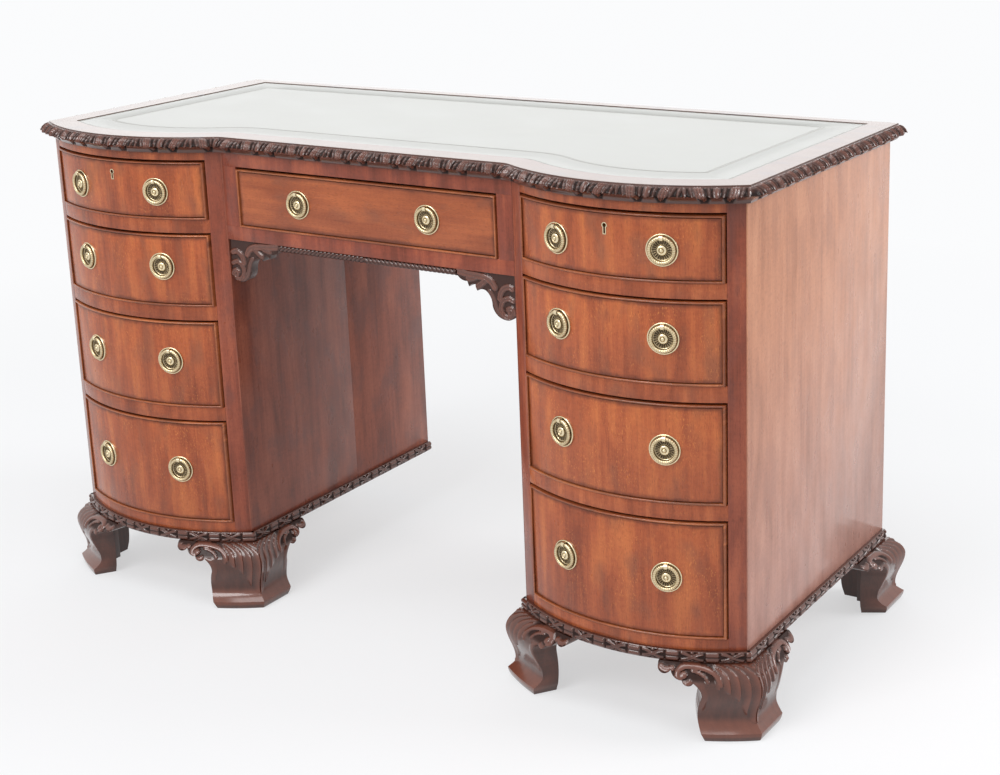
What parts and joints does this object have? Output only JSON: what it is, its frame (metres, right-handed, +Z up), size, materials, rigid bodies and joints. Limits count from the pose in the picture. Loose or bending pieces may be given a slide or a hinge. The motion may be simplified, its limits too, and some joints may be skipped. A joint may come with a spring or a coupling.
{
  "type": "kneehole desk",
  "caption": "Mahogany kneehole desk: bow-fronted drawer pedestals, sunk leather top, carved edge and base mouldings, ogee bracket feet and brass ring pulls.",
  "frame": {"origin": "on the floor under the middle of the desk's box", "axes": "+X along the desk to its right, +Y from the drawer side to the back, +Z up"},
  "size_m": [1.291, 0.5805, 0.762],
  "materials": {
    "mahogany_case": "French polished",
    "mahogany_front": "French polished",
    "mahogany_carved": "French polished",
    "drawer_lining": "bare",
    "leather": "polished, tooled",
    "brass": "aged"
  },
  "bodies": {
    "desk": {"top_board": "mahogany_case", "writing_leather": "leather", "top_edge_moulding": "mahogany_carved", "frieze_frame": "mahogany_case", "left_pedestal_case": "mahogany_case", "right_pedestal_case": "mahogany_case", "drawer_runners": "drawer_lining", "frieze_bead": "mahogany_carved", "kneehole_brackets": "mahogany_carved", "base_mouldings": "mahogany_carved", "bracket_feet": "mahogany_carved"},
    "left_drawer_1_lock_bolt": {"left_drawer_1_lock_bolt": "brass"},
    "left_drawer_1": {"left_drawer_1_front": "mahogany_front", "left_drawer_1_box": "drawer_lining", "left_drawer_1_handle_plates": "brass", "left_drawer_1_lock": "brass"},
    "left_drawer_1_left_ring": {"left_drawer_1_left_ring": "brass"},
    "left_drawer_1_right_ring": {"left_drawer_1_right_ring": "brass"},
    "left_drawer_2": {"left_drawer_2_front": "mahogany_front", "left_drawer_2_box": "drawer_lining", "left_drawer_2_handle_plates": "brass"},
    "left_drawer_2_left_ring": {"left_drawer_2_left_ring": "brass"},
    "left_drawer_2_right_ring": {"left_drawer_2_right_ring": "brass"},
    "left_drawer_3": {"left_drawer_3_front": "mahogany_front", "left_drawer_3_box": "drawer_lining", "left_drawer_3_handle_plates": "brass"},
    "left_drawer_3_left_ring": {"left_drawer_3_left_ring": "brass"},
    "left_drawer_3_right_ring": {"left_drawer_3_right_ring": "brass"},
    "left_drawer_4": {"left_drawer_4_front": "mahogany_front", "left_drawer_4_box": "drawer_lining", "left_drawer_4_handle_plates": "brass"},
    "left_drawer_4_left_ring": {"left_drawer_4_left_ring": "brass"},
    "left_drawer_4_right_ring": {"left_drawer_4_right_ring": "brass"},
    "right_drawer_1_lock_bolt": {"right_drawer_1_lock_bolt": "brass"},
    "right_drawer_1": {"right_drawer_1_front": "mahogany_front", "right_drawer_1_box": "drawer_lining", "right_drawer_1_handle_plates": "brass", "right_drawer_1_lock": "brass"},
    "right_drawer_1_left_ring": {"right_drawer_1_left_ring": "brass"},
    "right_drawer_1_right_ring": {"right_drawer_1_right_ring": "brass"},
    "right_drawer_2": {"right_drawer_2_front": "mahogany_front", "right_drawer_2_box": "drawer_lining", "right_drawer_2_handle_plates": "brass"},
    "right_drawer_2_left_ring": {"right_drawer_2_left_ring": "brass"},
    "right_drawer_2_right_ring": {"right_drawer_2_right_ring": "brass"},
    "right_drawer_3": {"right_drawer_3_front": "mahogany_front", "right_drawer_3_box": "drawer_lining", "right_drawer_3_handle_plates": "brass"},
    "right_drawer_3_left_ring": {"right_drawer_3_left_ring": "brass"},
    "right_drawer_3_right_ring": {"right_drawer_3_right_ring": "brass"},
    "right_drawer_4": {"right_drawer_4_front": "mahogany_front", "right_drawer_4_box": "drawer_lining", "right_drawer_4_handle_plates": "brass"},
    "right_drawer_4_left_ring": {"right_drawer_4_left_ring": "brass"},
    "right_drawer_4_right_ring": {"right_drawer_4_right_ring": "brass"},
    "centre_drawer": {"centre_drawer_front": "mahogany_front", "centre_drawer_box": "drawer_lining", "centre_drawer_handle_plates": "brass"},
    "centre_drawer_left_ring": {"centre_drawer_left_ring": "brass"},
    "centre_drawer_right_ring": {"centre_drawer_right_ring": "brass"}
  },
  "joints": [
    {"name": "left_drawer_1_lock_bolt_slide", "type": "slide", "parent": "left_drawer_1", "child": "left_drawer_1_lock_bolt", "axis": [0, 0, 1], "range_m": [0, 0.008]},
    {"name": "left_drawer_1_slide", "type": "slide", "parent": "desk", "child": "left_drawer_1", "axis": [0, -1, 0], "range_m": [0, 0.34]},
    {"name": "left_drawer_1_left_ring_swing", "type": "hinge", "parent": "left_drawer_1", "child": "left_drawer_1_left_ring", "pos_m": [-0.52015, -0.26291, 0.6929], "axis": [-0.9691, 0.2466, 0], "range_deg": [0, 100]},
    {"name": "left_drawer_1_right_ring_swing", "type": "hinge", "parent": "left_drawer_1", "child": "left_drawer_1_right_ring", "pos_m": [-0.35985, -0.26291, 0.6929], "axis": [-0.9691, -0.2466, 0], "range_deg": [0, 100]},
    {"name": "left_drawer_2_slide", "type": "slide", "parent": "desk", "child": "left_drawer_2", "axis": [0, -1, 0], "range_m": [0, 0.34]},
    {"name": "left_drawer_2_left_ring_swing", "type": "hinge", "parent": "left_drawer_2", "child": "left_drawer_2_left_ring", "pos_m": [-0.52015, -0.26291, 0.57564], "axis": [-0.9691, 0.2466, 0], "range_deg": [0, 100]},
    {"name": "left_drawer_2_right_ring_swing", "type": "hinge", "parent": "left_drawer_2", "child": "left_drawer_2_right_ring", "pos_m": [-0.35985, -0.26291, 0.57564], "axis": [-0.9691, -0.2466, 0], "range_deg": [0, 100]},
    {"name": "left_drawer_3_slide", "type": "slide", "parent": "desk", "child": "left_drawer_3", "axis": [0, -1, 0], "range_m": [0, 0.34]},
    {"name": "left_drawer_3_left_ring_swing", "type": "hinge", "parent": "left_drawer_3", "child": "left_drawer_3_left_ring", "pos_m": [-0.52015, -0.26291, 0.42353], "axis": [-0.9691, 0.2466, 0], "range_deg": [0, 100]},
    {"name": "left_drawer_3_right_ring_swing", "type": "hinge", "parent": "left_drawer_3", "child": "left_drawer_3_right_ring", "pos_m": [-0.35985, -0.26291, 0.42353], "axis": [-0.9691, -0.2466, 0], "range_deg": [0, 100]},
    {"name": "left_drawer_4_slide", "type": "slide", "parent": "desk", "child": "left_drawer_4", "axis": [0, -1, 0], "range_m": [0, 0.34]},
    {"name": "left_drawer_4_left_ring_swing", "type": "hinge", "parent": "left_drawer_4", "child": "left_drawer_4_left_ring", "pos_m": [-0.52015, -0.26291, 0.24291], "axis": [-0.9691, 0.2466, 0], "range_deg": [0, 100]},
    {"name": "left_drawer_4_right_ring_swing", "type": "hinge", "parent": "left_drawer_4", "child": "left_drawer_4_right_ring", "pos_m": [-0.35985, -0.26291, 0.24291], "axis": [-0.9691, -0.2466, 0], "range_deg": [0, 100]},
    {"name": "right_drawer_1_lock_bolt_slide", "type": "slide", "parent": "right_drawer_1", "child": "right_drawer_1_lock_bolt", "axis": [0, 0, 1], "range_m": [0, 0.008]},
    {"name": "right_drawer_1_slide", "type": "slide", "parent": "desk", "child": "right_drawer_1", "axis": [0, -1, 0], "range_m": [0, 0.34]},
    {"name": "right_drawer_1_left_ring_swing", "type": "hinge", "parent": "right_drawer_1", "child": "right_drawer_1_left_ring", "pos_m": [0.35985, -0.26291, 0.6929], "axis": [-0.9691, 0.2466, 0], "range_deg": [0, 100]},
    {"name": "right_drawer_1_right_ring_swing", "type": "hinge", "parent": "right_drawer_1", "child": "right_drawer_1_right_ring", "pos_m": [0.52015, -0.26291, 0.6929], "axis": [-0.9691, -0.2466, 0], "range_deg": [0, 100]},
    {"name": "right_drawer_2_slide", "type": "slide", "parent": "desk", "child": "right_drawer_2", "axis": [0, -1, 0], "range_m": [0, 0.34]},
    {"name": "right_drawer_2_left_ring_swing", "type": "hinge", "parent": "right_drawer_2", "child": "right_drawer_2_left_ring", "pos_m": [0.35985, -0.26291, 0.57564], "axis": [-0.9691, 0.2466, 0], "range_deg": [0, 100]},
    {"name": "right_drawer_2_right_ring_swing", "type": "hinge", "parent": "right_drawer_2", "child": "right_drawer_2_right_ring", "pos_m": [0.52015, -0.26291, 0.57564], "axis": [-0.9691, -0.2466, 0], "range_deg": [0, 100]},
    {"name": "right_drawer_3_slide", "type": "slide", "parent": "desk", "child": "right_drawer_3", "axis": [0, -1, 0], "range_m": [0, 0.34]},
    {"name": "right_drawer_3_left_ring_swing", "type": "hinge", "parent": "right_drawer_3", "child": "right_drawer_3_left_ring", "pos_m": [0.35985, -0.26291, 0.42353], "axis": [-0.9691, 0.2466, 0], "range_deg": [0, 100]},
    {"name": "right_drawer_3_right_ring_swing", "type": "hinge", "parent": "right_drawer_3", "child": "right_drawer_3_right_ring", "pos_m": [0.52015, -0.26291, 0.42353], "axis": [-0.9691, -0.2466, 0], "range_deg": [0, 100]},
    {"name": "right_drawer_4_slide", "type": "slide", "parent": "desk", "child": "right_drawer_4", "axis": [0, -1, 0], "range_m": [0, 0.34]},
    {"name": "right_drawer_4_left_ring_swing", "type": "hinge", "parent": "right_drawer_4", "child": "right_drawer_4_left_ring", "pos_m": [0.35985, -0.26291, 0.24291], "axis": [-0.9691, 0.2466, 0], "range_deg": [0, 100]},
    {"name": "right_drawer_4_right_ring_swing", "type": "hinge", "parent": "right_drawer_4", "child": "right_drawer_4_right_ring", "pos_m": [0.52015, -0.26291, 0.24291], "axis": [-0.9691, -0.2466, 0], "range_deg": [0, 100]},
    {"name": "centre_drawer_slide", "type": "slide", "parent": "desk", "child": "centre_drawer", "axis": [0, -1, 0], "range_m": [0, 0.33]},
    {"name": "centre_drawer_left_ring_swing", "type": "hinge", "parent": "centre_drawer", "child": "centre_drawer_left_ring", "pos_m": [-0.11754, -0.21895, 0.68526], "axis": [-1, 0, 0], "range_deg": [0, 100]},
    {"name": "centre_drawer_right_ring_swing", "type": "hinge", "parent": "centre_drawer", "child": "centre_drawer_right_ring", "pos_m": [0.11754, -0.21895, 0.68526], "axis": [-1, 0, 0], "range_deg": [0, 100]}
  ]
}
